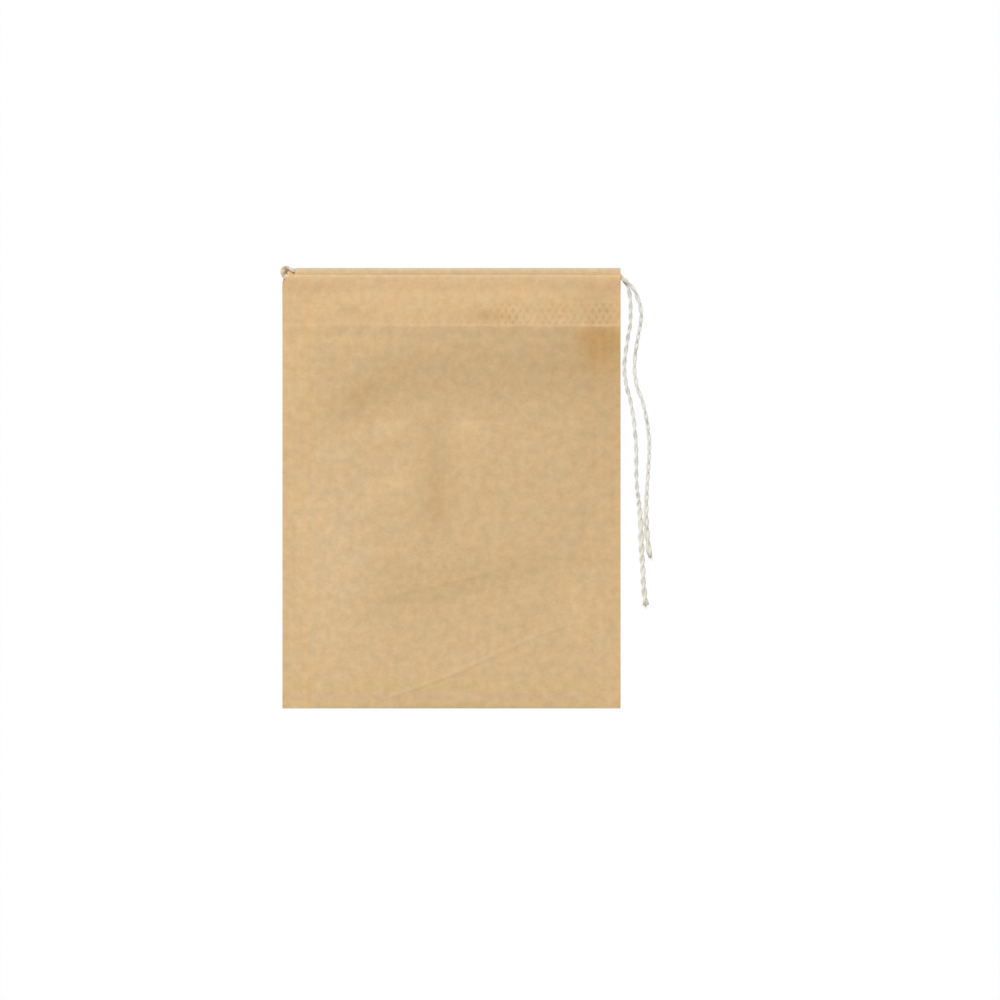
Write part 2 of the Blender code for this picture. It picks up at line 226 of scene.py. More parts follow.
# %% The points of the two tails
TABLE_GAP = 0.02 * MM
FRONT_TAIL = (
    (0.95, 2.60), (1.90, 3.45), (2.85, 4.70), (3.70, 6.62), (4.25, 9.10), (4.20, 11.05),
    (3.78, 13.45), (3.28, 16.04), (2.86, 20.12), (3.10, 23.08), (3.60, 25.25), (4.42, 27.30),
    (5.28, 30.78), (5.88, 35.20), (5.95, 38.07), (5.75, 40.93), (5.60, 43.40), (5.45, 46.00),
    (5.32, 49.20), (5.32, 52.60), (5.48, 55.20), (5.78, 57.60), (6.10, 59.80),
)
BACK_TAIL = (
    (0.90, 2.75), (1.65, 4.20), (2.02, 6.60), (2.08, 9.20), (2.00, 11.61), (1.58, 14.01),
    (1.26, 16.22), (0.88, 18.63), (0.76, 20.68), (0.95, 22.70), (1.40, 25.25), (2.00, 27.30),
    (2.70, 31.42), (3.12, 35.23), (3.25, 39.02), (3.25, 43.00), (3.48, 46.00), (3.95, 50.00),
    (4.15, 53.40), (4.32, 57.20), (4.50, 61.40), (4.72, 65.00), (5.20, 69.80),
)
FRONT_DESCENT = 11.0 * MM
BACK_DESCENT = 5.0 * MM
BACK_STRING_DROP = 0.9 * MM
TURN_OUT = 0.45 * MM
TURN_RISE = 0.4 * MM
# the turn's points, as shares of the way out from the channels and across between them
TURN_FROM_BACK = ((0.18, 0.05), (0.36, 0.5), (0.58, 0.95), (0.80, 0.85))
TURN_FROM_FRONT = ((0.995, 0.66), (0.97, 0.40), (0.86, 0.18), (0.70, 0.04), (0.52, 0.0))
# the middle share of the turn, over which the string climbs from one channel to the other
CLIMB_FROM = 0.25
CLIMB_OVER = 0.5
print("points of the two tails:", len(FRONT_TAIL), len(BACK_TAIL))

# %% Helpers for a smooth route
STRING_STEP = 0.2 * MM


def tail_points(start, offsets, descent):
    """A tail's route: out of its channel's end, down to the table and along it."""
    rest_z = STRING_DIAMETER / 2 + TABLE_GAP
    points = [start]
    gone = 0.0
    for across, down in offsets:
        x = HALF_WIDTH + across * MM
        y = TOP - down * MM
        gone += math.hypot(x - points[-1][0], y - points[-1][1])
        z = rest_z + (start[2] - rest_z) * (1.0 - float(ease(gone / descent)))
        points.append((x, y, z))
    return points


def smooth_curve(points, steps=12):
    """A smooth curve through the points, with short straight steps."""
    route = np.array(points, dtype=float)
    padded = np.vstack([2 * route[0] - route[1], route, 2 * route[-1] - route[-2]])
    curve = []
    for a, b, c, d in zip(padded, padded[1:], padded[2:], padded[3:]):
        for share in np.linspace(0.0, 1.0, steps, endpoint=False):
            bend = 2 * a - 5 * b + 4 * c - d
            turn = 3 * b - a - 3 * c + d
            curve.append(0.5 * (2 * b + (c - a) * share + bend * share**2 + turn * share**3))
    return np.array([*curve, route[-1]])


def lengths_along(path):
    """How far along the line each of its points lies."""
    return np.concatenate([[0.0], np.cumsum(np.linalg.norm(np.diff(path, axis=0), axis=1))])


def evenly(path, step):
    """The same line with its points a step apart."""
    reach = lengths_along(path)
    marks = np.linspace(0.0, reach[-1], round(reach[-1] / step) + 1)
    return np.column_stack([np.interp(marks, reach, path[:, axis]) for axis in range(3)])


def turn_route(front_end, back_end):
    """From the front channel's left end round to the back channel's, without the two ends."""
    out = front_end[0] + HALF_WIDTH + TURN_OUT - STRING_DIAMETER / 2
    rise = TOP + TURN_RISE - STRING_DIAMETER / 2 - back_end[1]
    depth = back_end[1] + rise - front_end[1]
    plan = [front_end]
    for outward, across_share in reversed(TURN_FROM_FRONT):
        plan.append((front_end[0] - out * outward, front_end[1] + depth * across_share, 0.0))
    for outward, across_share in reversed(TURN_FROM_BACK):
        plan.append((back_end[0] - out * outward, back_end[1] + rise * across_share, 0.0))
    route = evenly(smooth_curve([*plan, back_end]), STRING_STEP)
    climb = ease((np.linspace(1.0, 0.0, len(route)) - CLIMB_FROM) / CLIMB_OVER)
    route[:, 2] = back_end[2] + (front_end[2] - back_end[2]) * climb
    return route[1:-1]


# %% The whole route, from the short tail's end to the long tail's end
STATIONS = 60
SMOOTHING_PASSES = 6
front_y = FRONT_TOP - PAPER / 2 - HEM_RADIUS
back_left_y = TOP - PAPER / 2 - HEM_RADIUS
left = -HALF_WIDTH + NOTCH_WIDTH
stations = np.linspace(left, HALF_WIDTH, STATIONS)
share = (stations - left) / (HALF_WIDTH - left)
front_z = front_flap_z(stations, front_y) + HEM_RADIUS
in_front = np.column_stack([stations, np.full(STATIONS, front_y), front_z])
back_y = back_left_y - BACK_STRING_DROP * share
in_back = np.column_stack([stations, back_y, np.full(STATIONS, TABLE_LAYER + HEM_RADIUS)])
front_tail_line = smooth_curve(tail_points(tuple(in_front[-1]), FRONT_TAIL, FRONT_DESCENT))
back_tail_line = smooth_curve(tail_points(tuple(in_back[-1]), BACK_TAIL, BACK_DESCENT))
turn_line = turn_route(in_front[0], in_back[0])
whole_route = np.vstack(
    [front_tail_line[:0:-1], in_front[::-1], turn_line, in_back, back_tail_line[1:]]
)
string_line = evenly(whole_route, STRING_STEP)
for _ in range(SMOOTHING_PASSES):
    string_line[1:-1] = (string_line[:-2] + 2 * string_line[1:-1] + string_line[2:]) / 4
string_line = evenly(string_line, STRING_STEP)
print("drawstring, mm:", round(1000 * lengths_along(string_line)[-1], 1))

# %% [markdown]
# ## Twisted thread
# A cotton string like this is two soft plies, loosely twisted round each other. A plain tube would
# look like wire, so each ply is a tube of its own that winds round the string's line, half a turn
# from the other, and its thickness and its twist wander a little as they do in spun cotton.
# The direction across the line is carried along it from point to point, so the twist stays even
# where the string bends. All the plies of one stretch go into one mesh, with a UV map that runs
# along them for the fibres.

# %% Directions along the string
along = np.gradient(string_line, axis=0)
along /= np.linalg.norm(along, axis=1)[:, None]
across = np.zeros_like(along)
across[0] = np.cross(along[0], (0.0, 0.0, 1.0))
for i in range(1, len(along)):
    across[i] = across[i - 1] - along[i] * np.dot(across[i - 1], along[i])
    across[i] /= np.linalg.norm(across[i])
upright = np.cross(along, across)
string_marks = lengths_along(string_line)
print("points along the string:", len(string_line))

# %% [markdown]
# The string isn't the same all along. Its plies stand further apart where it turns round the hem,
# near the cut ends, where the twist has come loose, and at the cuts themselves. Its colour changes
# too: painted shade in the grooves where the plies cross, grey at the cuts, creamier where the
# twist is loose, and tan where it turns round the hem and where it leaves the hem.

# %% Where the string is bent, loose, cut or rubbed
TURN_REACH = 1.7 * MM
EXIT_REACH = 1.1 * MM
LOOSE_FROM = 2.0 * MM
LOOSE_OVER = 10.0 * MM
END_REACH = 0.9 * MM
# how much further apart the plies stand there, and how much thicker they are
TURN_SPREAD = 0.40
LOOSE_SPREAD = 0.38
END_SPREAD = 0.15

# 1 in the middle of the turn at the bag's left edge
at_turn = bell(string_line[:, 0], -HALF_WIDTH, TURN_REACH)
# 1 where the string leaves the two channels at the right
at_exit = bell(string_line[:, 0], HALF_WIDTH, EXIT_REACH) * (string_line[:, 1] > TOP - FLAP / 2)
# 0 on the upper tails, 1 on the loose lower part
loosened = ease((LOOSE_FROM - string_line[:, 1]) / LOOSE_OVER)
# 1 at the two cut ends
at_end = bell(np.minimum(string_marks, string_marks[-1] - string_marks), 0.0, END_REACH)
spread = 1 + LOOSE_SPREAD * loosened + END_SPREAD * at_end + TURN_SPREAD * at_turn
print("plies spread up to", round(float(spread.max()), 2), "times")

# %% The plies and their tones
PLIES = 2
PLY_OFFSET = 0.175 * MM
PLY_RADIUS = 0.24 * MM
TWIST_PITCH = 4.6 * MM
PLY_SIDES = 14
FULL_TURN = 2 * math.pi
# no ply sinks below this height over the table
PRESSED_FLAT = 0.01 * MM
# how much each thing wanders along the string, over what length, and the seed it starts from
TWIST_WANDER = (1.5, 6.3 * MM, 19)
PLY_TWIST_WANDER = (0.2, 2 * MM, 20)
OFFSET_WANDER = (0.12, 2.3 * MM, 30)
RADIUS_WANDER = (0.14, 1.7 * MM, 40)
CROSSING_WANDER = (0.65, 3.1 * MM, 50)
# what the tones take off the string's colour, some of them in red, green and blue, and the
# share of the crossings' shade that is left where the twist is loose
# painted shade in the grooves where one ply crosses the other
CROSSING_SHADE = 0.24
CROSSING_MEAN = 0.85
LOOSE_CROSSING = 0.55
END_SHADE = 0.25
# tan where the string turns round the hem's end, and less of it where the string leaves the hem
TAN_AT_HEM = (0.12, 0.27, 0.43)
EXIT_TAN_SHARE = 0.6
YELLOWED = (0.0, 0.01, 0.06)


def wander(kind, ply=0):
    """Numbers round 0 that change smoothly along the string, and differ from ply to ply."""
    most, wavelength, seed = kind
    own = np.random.default_rng(seed + ply)
    first, last = string_marks[0] - wavelength, string_marks[-1] + 3 * wavelength
    knots = np.arange(first, last, wavelength)
    values = own.uniform(-1.0, 1.0, len(knots))
    spot = np.clip(((string_marks - knots[0]) / wavelength).astype(int), 0, len(knots) - 2)
    part = ease((string_marks - knots[spot]) / wavelength)
    return most * (values[spot] * (1 - part) + values[spot + 1] * part)


def ply_rings(ply):
    """Points round one ply, at every point of the string, and how far it has turned there."""
    turn = FULL_TURN * (ply / PLIES + string_marks / TWIST_PITCH)
    turn = turn + wander(TWIST_WANDER) + wander(PLY_TWIST_WANDER, ply)
    offset = PLY_OFFSET * (1 + wander(OFFSET_WANDER, ply)) * spread
    radius = PLY_RADIUS * (1 + wander(RADIUS_WANDER, ply)) * spread
    centre = string_line + offset[:, None] * (
        np.cos(turn)[:, None] * across + np.sin(turn)[:, None] * upright
    )
    angles = FULL_TURN * np.arange(PLY_SIDES) / PLY_SIDES
    ring = np.cos(angles)[None, :, None] * across[:, None]
    ring = ring + np.sin(angles)[None, :, None] * upright[:, None]
    rings = centre[:, None] + radius[:, None, None] * ring
    rings[:, :, 2] = np.maximum(rings[:, :, 2], PRESSED_FLAT)
    return rings, turn


def string_shade(turn):
    """Painted shade where one ply crosses the other, and tan where the thread turns round the hem
    and where it leaves it.
    """
    crossing = CROSSING_SHADE * (1.0 + (LOOSE_CROSSING - 1.0) * loosened) * np.sin(turn) ** 2
    crossing = crossing * (CROSSING_MEAN + wander(CROSSING_WANDER))
    grey = crossing + END_SHADE * at_end
    tan_part = (at_turn + EXIT_TAN_SHARE * at_exit)[:, None] * np.array(TAN_AT_HEM)
    return 1.0 - grey[:, None] - tan_part - loosened[:, None] * np.array(YELLOWED)


plies = [ply_rings(ply) for ply in range(PLIES)]
highest = max(rings[:, :, 2].max() for rings, _ in plies)
print("top of the string, mm:", round(1000 * float(highest), 2))

# %% A mesh from a list of points and faces


def colour_points(mesh, name, colours):
    """Keeps a red, green and blue value for every point of the mesh."""
    attribute = mesh.attributes.new(name, "FLOAT_COLOR", "POINT")
    with_alpha = np.column_stack([colours, np.ones(len(colours))]).astype(np.float32)
    attribute.data.foreach_set("color", with_alpha.ravel())


def new_piece(name, points, faces, uvs=None, shade=None):
    """A shown object. uvs holds a pair for every corner of every face, shade a colour a point."""
    mesh = bpy.data.meshes.new(name)
    mesh.from_pydata([tuple(p) for p in points], [], faces)
    if uvs is not None:
        layer = mesh.uv_layers.new(name="UVMap")
        layer.data.foreach_set("uv", np.array(uvs, dtype=np.float32).ravel())
    if shade is not None:
        colour_points(mesh, "shade", shade)
    mesh.update()
    piece = bpy.data.objects.new(name, mesh)
    bpy.context.scene.collection.objects.link(piece)
    mesh.shade_smooth()
    return piece


def thread_piece(name, first, last):
    """The stretch of string between two points of its line. Its UV map counts millimetres."""
    points, faces, uvs, shades = [], [], [], []
    count = last - first + 1
    for rings, turn in plies:
        base = len(points)
        part = rings[first : last + 1]
        points.extend(part.reshape(-1, 3))
        shades.append(np.repeat(string_shade(turn)[first : last + 1], PLY_SIDES, axis=0))
        for i in range(count - 1):
            for k in range(PLY_SIDES):
                n = (k + 1) % PLY_SIDES
                a = base + i * PLY_SIDES
                faces.append((a + k, a + n, a + PLY_SIDES + n, a + PLY_SIDES + k))
                low, high = string_marks[first + i : first + i + 2] / MM
                u0 = k / PLY_SIDES - turn[first + i] / FULL_TURN
                u1 = k / PLY_SIDES - turn[first + i + 1] / FULL_TURN
                uvs += [(u0, low), (u0 + 1 / PLY_SIDES, low)]
                uvs += [(u1 + 1 / PLY_SIDES, high), (u1, high)]
        for end, order in ((0, -1), (count - 1, 1)):
            ring = [base + end * PLY_SIDES + k for k in range(PLY_SIDES)]
            faces.append(tuple(ring[::order]))
            uvs += [(0.5, string_marks[first + end] / MM)] * PLY_SIDES
    return new_piece(name, points, faces, uvs, np.vstack(shades))


# %% The three stretches: short tail, held in the hem, long tail
INSIDE_HEM = 1.5 * MM
beyond = string_line[:, 0] > HALF_WIDTH - INSIDE_HEM
half = len(string_line) // 2
short_cut = int(np.argmin(beyond[:half]))
long_cut = half + int(np.argmax(beyond[half:]))
short_tail = thread_piece("string_tail_short", 0, short_cut)
held_string = thread_piece("string_in_hem", short_cut, long_cut)
long_tail = thread_piece("string_tail_long", long_cut, len(string_line) - 1)
short_length = string_marks[short_cut]
long_length = string_marks[-1] - string_marks[long_cut]
print("short tail, mm:", round(1000 * short_length, 1))
print("long tail, mm:", round(1000 * long_length, 1))

# %% [markdown]
# ## Loose fibres
# Spun cotton is hairy. Short fibres stand off the string all along, and the cut ends open into a
# small tuft. A hair system would be the quick way, but it has no mesh of its own to keep. So each
# fibre is a thin bent sliver with three sides, and hundreds of them stay cheap.

# %% Fibres along the tails and at their cut ends
FIBRE_RADIUS = 0.011 * MM
FIBRE_TAPER = 0.6
FIBRE_SIDES = 3
FIBRE_FLOOR = 0.03 * MM
# along the tails: how many, how far out they start, how they lean and sag, and lengths in mm
FIBRES_PER_MM = 3.0
FIBRE_ROOT = 0.30 * MM
FIBRE_LEAN = 1.6
FIBRE_SAG = 0.5
FIBRE_LENGTHS = (0.2, 0.75)
# and the same in the tuft at a cut end
TUFT_FIBRES = 46
TUFT_ROOT = 0.26 * MM
TUFT_STRAY = 0.42
TUFT_SAG = 0.35
TUFT_LENGTHS = (0.3, 0.95)
# points of the line that stay bare at a stretch's start and at its end
BARE_POINTS = (8, 4)
string_random = np.random.default_rng(7)


def fibre(points, faces, start, direction, sag, length, steps=4):
    """Adds one bent sliver, thinner towards its tip."""
    side = np.cross(direction, sag)
    side /= np.linalg.norm(side) + 1e-12
    other = np.cross(direction, side)
    base = len(points)
    for i in range(steps + 1):
        t = i / steps
        spot = start + direction * length * t + sag * length * t * t
        spot[2] = max(spot[2], FIBRE_FLOOR)
        width = FIBRE_RADIUS * (1.0 - FIBRE_TAPER * t)
        for angle in FULL_TURN * np.arange(FIBRE_SIDES) / FIBRE_SIDES:
            points.append(spot + width * (math.cos(angle) * side + math.sin(angle) * other))
    for i in range(steps):
        for k in range(FIBRE_SIDES):
            a = base + FIBRE_SIDES * i + k
            b = base + FIBRE_SIDES * i + (k + 1) % FIBRE_SIDES
            faces.append((a, b, b + FIBRE_SIDES, a + FIBRE_SIDES))
    tip = base + FIBRE_SIDES * steps
    faces.append((base + 2, base + 1, base))
    faces.append((tip, tip + 1, tip + 2))


def unit(vector):
    """The same direction, one long."""
    return vector / (np.linalg.norm(vector) + 1e-12)


def tail_fibres(name, first, last, end, heading):
    """Fibres on the stretch from first to last, and a tuft at the point end."""
    draw = string_random.uniform
    points, faces = [], []
    count = round((last - first) * STRING_STEP / MM * FIBRES_PER_MM)
    for i in string_random.integers(first + BARE_POINTS[0], last - BARE_POINTS[1], count):
        angle = draw(0, FULL_TURN)
        out = math.cos(angle) * across[i] + math.sin(angle) * upright[i]
        lean = along[i] * draw(-FIBRE_LEAN, FIBRE_LEAN)
        sag = unit(string_random.normal(size=3)) * FIBRE_SAG
        length = draw(*FIBRE_LENGTHS) * MM
        fibre(points, faces, string_line[i] + out * FIBRE_ROOT, unit(out + lean), sag, length)
    for _ in range(TUFT_FIBRES):
        stray = string_random.normal(size=3) * TUFT_STRAY
        root = across[end] * draw(-1, 1) + upright[end] * draw(-1, 1)
        sag = unit(string_random.normal(size=3)) * TUFT_SAG
        length = draw(*TUFT_LENGTHS) * MM
        direction = unit(heading * along[end] + stray)
        fibre(points, faces, string_line[end] + root * TUFT_ROOT, direction, sag, length)
    return new_piece(name, points, faces)


last_point = len(string_line) - 1
short_fibres = tail_fibres("string_fibres_short", 0, short_cut, 0, -1.0)
long_fibres = tail_fibres("string_fibres_long", long_cut, last_point, last_point, 1.0)
print("faces of the fibres:", len(short_fibres.data.polygons) + len(long_fibres.data.polygons))

for piece in (short_tail, held_string, long_tail, short_fibres, long_fibres):
    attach(piece, "root")
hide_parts("drawstring")
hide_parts("drawstring")
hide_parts("drawstring")
print("pieces of the string: 5")

# %% [markdown]
# ## The paper blank
# The bag is cut as one flat strip, 70 mm wide and a good 203 mm long, so it is modelled that way:
# a flat grid at its cut size that is then folded. The grid's lines are close together where the
# paper will bend, and far apart on the plain back wall. The UV map is taken while the strip is
# still flat, so the fibres of the paper follow it round every fold.

# %% Where the strip's stretches begin and end
BACK_FLAP, BACK_HEM, BACK_WALL, BOTTOM_FOLD, FRONT_WALL, FRONT_HEM, FRONT_FLAP = range(7)
BACK_TANGENT = TOP - PAPER / 2 - HEM_RADIUS
FRONT_TANGENT = FRONT_TOP - PAPER / 2 - HEM_RADIUS
FOLD_END = BOTTOM + PAPER / 2 + FOLD_GAP / 2
# each stretch's length, and about how far apart the lines across it lie
STRETCHES = (
    (BACK_TANGENT - (TOP - FLAP), 0.6 * MM),
    (math.pi * HEM_RADIUS, 0.16 * MM),
    (BACK_TANGENT - FOLD_END, 2.4 * MM),
    (math.pi * FOLD_GAP / 2, 0.08 * MM),
    (FRONT_TANGENT - FOLD_END, 0.6 * MM),
    (math.pi * HEM_RADIUS, 0.16 * MM),
    (FRONT_TANGENT - (FRONT_TOP - FLAP), 0.6 * MM),
)
starts = np.concatenate([[0.0], np.cumsum([length for length, _ in STRETCHES])])
STRIP_LENGTH = float(starts[-1])
print("strip cut to, mm:", round(1000 * BAG_WIDTH, 1), "by", round(1000 * STRIP_LENGTH, 1))

# %% The grid's lines
# the back wall's corner by the string's turn has a few closer lines of its own
CORNER_ROWS = 4
CORNER_STEP = 0.48 * MM
SEAL_COLUMNS = 19
MIDDLE_COLUMNS = 99

row_sets = [starts[BACK_WALL] + np.arange(1, CORNER_ROWS + 1) * CORNER_STEP, [STRIP_LENGTH]]
for start, (length, step) in zip(starts, STRETCHES):
    count = round(length / step)
    row_sets.append(start + np.arange(count) * length / count)
rows = np.sort(np.concatenate(row_sets))
band = np.linspace(SEAL_LINE, HALF_WIDTH, SEAL_COLUMNS)
middle_columns = np.linspace(-SEAL_LINE, SEAL_LINE, MIDDLE_COLUMNS)
columns = np.concatenate([-band[:0:-1], middle_columns, band[1:]])
print("rows and columns:", len(rows), len(columns))

# %% The flat strip


def places(parts, key="co"):
    """Where the points of a mesh are, or the centres of its faces, as rows of x, y and z."""
    read = np.empty(len(parts) * 3)
    parts.foreach_get(key, read)
    return read.reshape(-1, 3)


bpy.ops.mesh.primitive_grid_add(
    x_subdivisions=len(columns) - 1, y_subdivisions=len(rows) - 1, size=2.0, location=(0, 0, 0)
)
paper = bpy.context.object
paper.name = "filter_paper_bag"
flat = places(paper.data.vertices)
column = np.rint((flat[:, 0] + 1) / 2 * (len(columns) - 1)).astype(int)
row = np.rint((flat[:, 1] + 1) / 2 * (len(rows) - 1)).astype(int)
flat[:, 0] = columns[column]
flat[:, 1] = rows[row]
paper.data.vertices.foreach_set("co", flat.ravel())
paper.data.update()
print("faces of the strip:", len(paper.data.polygons))

# %% [markdown]
# Handling has left one sharp crease across the lower part of the bag and two softer ones. The
# heat seal that holds the front flap has a fine pressed pattern. Both need more lines than the
# rest of the paper, so only the faces there are subdivided, while the strip is still flat.

# %% The lines of the creases
# x and y in mm and the share of the height at each point, then the height and the reach below
# and above the line, all three in mm
CREASES = (
    (((-15.8, -44.3, 0.5), (-8.6, -41.8, 0.8), (0.1, -38.7, 1.0), (10.5, -33.9, 0.7),
      (18.3, -30.4, 0.4), (24.5, -28.3, 0.2), (30.8, -25.6, 0.0)), 0.135, 0.65, 1.1),
    (((-20.6, -23.0, 0.2), (-12.0, -22.0, 0.5), (-2.4, -20.0, 1.0), (8.0, -17.4, 1.0),
      (14.6, -14.6, 0.3), (27.0, -11.4, 0.0)), 0.08, 0.9, 2.4),
    (((-28.3, 11.5, 0.0), (-22.0, 16.2, 1.0), (-15.8, 20.3, 0.6), (-8.6, 23.4, 0.0)),
     0.03, 0.9, 1.8),
)
print("creases:", len(CREASES))


def off_line(x, y, points):
    """Distance in mm from a broken line, below 0 on its lower side, and the strength there."""
    best = np.full(np.shape(x), np.inf)
    signed = np.zeros(np.shape(x))
    strength = np.zeros(np.shape(x))
    for (x0, y0, s0), (x1, y1, s1) in zip(points, points[1:]):
        dx, dy = x1 - x0, y1 - y0
        t = np.clip(((x / MM - x0) * dx + (y / MM - y0) * dy) / (dx * dx + dy * dy), 0.0, 1.0)
        off_x = x / MM - x0 - t * dx
        off_y = y / MM - y0 - t * dy
        distance = np.hypot(off_x, off_y)
        nearer = distance < best
        best = np.where(nearer, distance, best)
        signed = np.where(nearer, np.sign(off_y * dx - off_x * dy) * distance, signed)
        strength = np.where(nearer, s0 + (s1 - s0) * t, strength)
    return signed, strength


# %% Finer faces at the creases and in the front hem's seal
FINER_CUTS = 2
CREASE_MARGIN = 0.9
PATTERN_LEFT = -12.0 * MM
PATTERN_MARGIN = 0.3 * MM
BAND_LOW = FRONT_TOP - FLAP
BAND_HIGH = FRONT_TOP - CHANNEL
bpy.ops.object.mode_set(mode="EDIT")
bpy.ops.mesh.select_all(action="DESELECT")
bpy.ops.object.mode_set(mode="OBJECT")
across_strip, along_strip, _ = places(paper.data.polygons, "center").T
height_up = FOLD_END + along_strip - starts[FRONT_WALL]
finer = (BAND_LOW - PATTERN_MARGIN < height_up) & (height_up < BAND_HIGH + PATTERN_MARGIN)
finer &= across_strip > PATTERN_LEFT
for points, *_ in CREASES:
    finer |= np.abs(off_line(across_strip, height_up, points)[0]) < CREASE_MARGIN
paper.data.polygons.foreach_set("select", finer)
bpy.ops.object.mode_set(mode="EDIT")
bpy.context.tool_settings.mesh_select_mode = (False, False, True)
bpy.ops.mesh.subdivide(number_cuts=FINER_CUTS)
bpy.ops.object.mode_set(mode="OBJECT")
print("faces with the finer places:", len(paper.data.polygons))

# %% A UV map of the flat strip
UV_UNIT = 10 * MM
uv = paper.data.uv_layers.active or paper.data.uv_layers.new(name="UVMap")
loops = np.empty(len(paper.data.loops), dtype=np.int32)
paper.data.loops.foreach_get("vertex_index", loops)
flat = places(paper.data.vertices)
uv.data.foreach_set("uv", (flat[loops][:, :2] / UV_UNIT).astype(np.float32).ravel())
print("UV map, units:", np.round(np.ptp(flat[:, :2], axis=0) / UV_UNIT, 2))

# %% [markdown]
# ## Creases and the pressed seals
# A crease is a low ridge along its line, so its height falls off with the distance from there,
# and it fades in and out along the line. The seals are pressed between patterned bars: upright
# ribs along the sides, and a fine lattice of dots along the hem, deepest in three places on the
# right where the bar pressed harder. All the paper is slightly cockled as well.

# %% Heights of creases, cockle and seals
RIDGE_FALL = 1.2


def ridge(x, y, points, height, below, above):
    """A low fold along a broken line, steeper on its lower side."""
    signed, strength = off_line(x, y, points)
    reach = np.where(signed > 0, above, below)
    return height * MM * strength * np.exp(-np.abs(signed) / reach * RIDGE_FALL)


def cockle(x, y, seed, wavelength, height, waves=14):
    """The slight unevenness of any paper: many faint waves in all directions."""
    own = np.random.default_rng(seed)
    total = np.zeros(np.broadcast(x, y).shape)
    for _ in range(waves):
        angle = own.uniform(0, math.pi)
        number = 2 * math.pi / (wavelength * own.uniform(0.7, 1.6))
        phase = own.uniform(0, 2 * math.pi)
        total = total + np.sin(number * (x * math.cos(angle) + y * math.sin(angle)) + phase)
    return height * total / math.sqrt(waves)


sharp_crease = ridge(0.1 * MM, -38.7 * MM, *CREASES[0])
print("the sharp crease, mm high:", round(1000 * float(sharp_crease), 3))

# %% The lattice of dots and the bar's pressure
DOT_BIAS = 0.15
LATTICE_ACROSS = 1.5 * MM
LATTICE_DOWN = 1.33 * MM
LATTICE_START = (30.75 * MM, 36.7 * MM)
BAR_EDGE = 0.5 * MM
LIGHT_PRESS = 0.12
# centre and reach in mm, and how much harder the bar pressed there
HARD_PRESSES = ((12.5, 3.2, 0.75), (22.0, 4.0, 0.5), (30.8, 3.2, 0.62))


def pressed_dots(x, y):
    """1 in the middle of each pressed dot, 0 between them; every other row is shifted."""
    across_wave = np.cos(2 * math.pi * (x - LATTICE_START[0]) / LATTICE_ACROSS)
    down_wave = np.cos(math.pi * (y - LATTICE_START[1]) / LATTICE_DOWN)
    return ease(DOT_BIAS + across_wave * down_wave)


def hem_press(x, y):
    """How hard the hem's bar pressed at x and y, from 0 to 1."""
    edge = ease((y - BAND_LOW) / BAR_EDGE) * ease((BAND_HIGH - y) / BAR_EDGE)
    press = LIGHT_PRESS
    for centre, reach, strength in HARD_PRESSES:
        press = press + strength * bell(x / MM, centre, reach)
    return edge * np.minimum(press, 1.0)


print("pressed hardest, of 1:", round(float(hem_press(30.8 * MM, (BAND_LOW + BAND_HIGH) / 2)), 2))

# %% [markdown]
# ## Folding the strip
# Every point of the strip now goes to its place round the folds. The order is the same as on
# the machine: flap, hem fold and wall at the back, the bottom fold, then wall, hem fold and flap
# at the front. The corners at the left end of the hem are drawn in where the string turns, each
# layer by its own curve. The back wall is drawn in only right at its fold, because below it the
# paper shows inside the string's turn.

# %% How far the corners are drawn in
NOTCH_FROM = 0.05 * MM
NOTCH_OVER = 0.4 * MM


def back_wall_notch(depth):
    """Wide at the fold, where the string turns up, and a narrow strip off below it."""
    at_fold = 1.0 - ease((depth - NOTCH_FROM) / NOTCH_OVER)
    below = 1.0 - ease((depth - WALL_NOTCH_DEPTH / 2) / (WALL_NOTCH_DEPTH / 2))
    return (NOTCH_WIDTH - BACK_CORNER) * at_fold + BACK_CORNER * below


def front_wall_notch(depth):
    """A quarter circle off the front wall's corner."""
    short_of = np.clip(FRONT_CORNER - depth, 0.0, FRONT_CORNER)
    return FRONT_CORNER - np.sqrt(FRONT_CORNER**2 - short_of**2)


def flap_notch(depth):
    """A long curve off each flap, which lets the string out of its channel."""
    return NOTCH_WIDTH * np.maximum(0.0, 1.0 - (np.maximum(depth, 0.0) / FLAP_NOTCH_DEPTH) ** 2)


print("back wall drawn in at its fold, mm:", round(1000 * float(back_wall_notch(0.0)), 2))

# %% The relief of loose and sealed paper
HEM_PRESS_DEPTH = 0.08 * MM
RIB_DEPTH = 0.02 * MM
RIB_PITCH = 1.66 * MM
RIB_EDGE = 0.4 * MM
RIBS_END = 1 * MM
HELD_SHARE = 0.25
FREE_FROM_SEAL = 3 * MM
FREE_FROM_BOTTOM = 4 * MM
# seed, wavelength and height of the two sets of waves
COCKLES = ((3, 11 * MM, 0.035 * MM), (4, 4 * MM, 0.006 * MM))


def fine_relief(x, y):
    """Creases and cockle, which only the unsealed paper can show in full."""
    free = ease((SEAL_LINE - np.abs(x)) / FREE_FROM_SEAL)
    loose = HELD_SHARE + (1 - HELD_SHARE) * free
    loose = loose * ease((y - BOTTOM) / FREE_FROM_BOTTOM)
    height = sum(cockle(x, y, *waves) for waves in COCKLES)
    for points, rise, below, above in CREASES:
        height = height + ridge(x, y, points, rise, below, above)
    return height * loose


def seal_ribs(x):
    """Upright ribs in the side seals, pressed down between their tops."""
    inside = ease((np.abs(x) - SEAL_LINE) / RIB_EDGE)
    return inside * RIB_DEPTH * (np.cos(2 * math.pi * (np.abs(x) - SEAL_LINE) / RIB_PITCH) - 1)


print("relief in the middle, mm:", round(1000 * float(fine_relief(0.0, 0.0)), 3))

# %% Fold every point


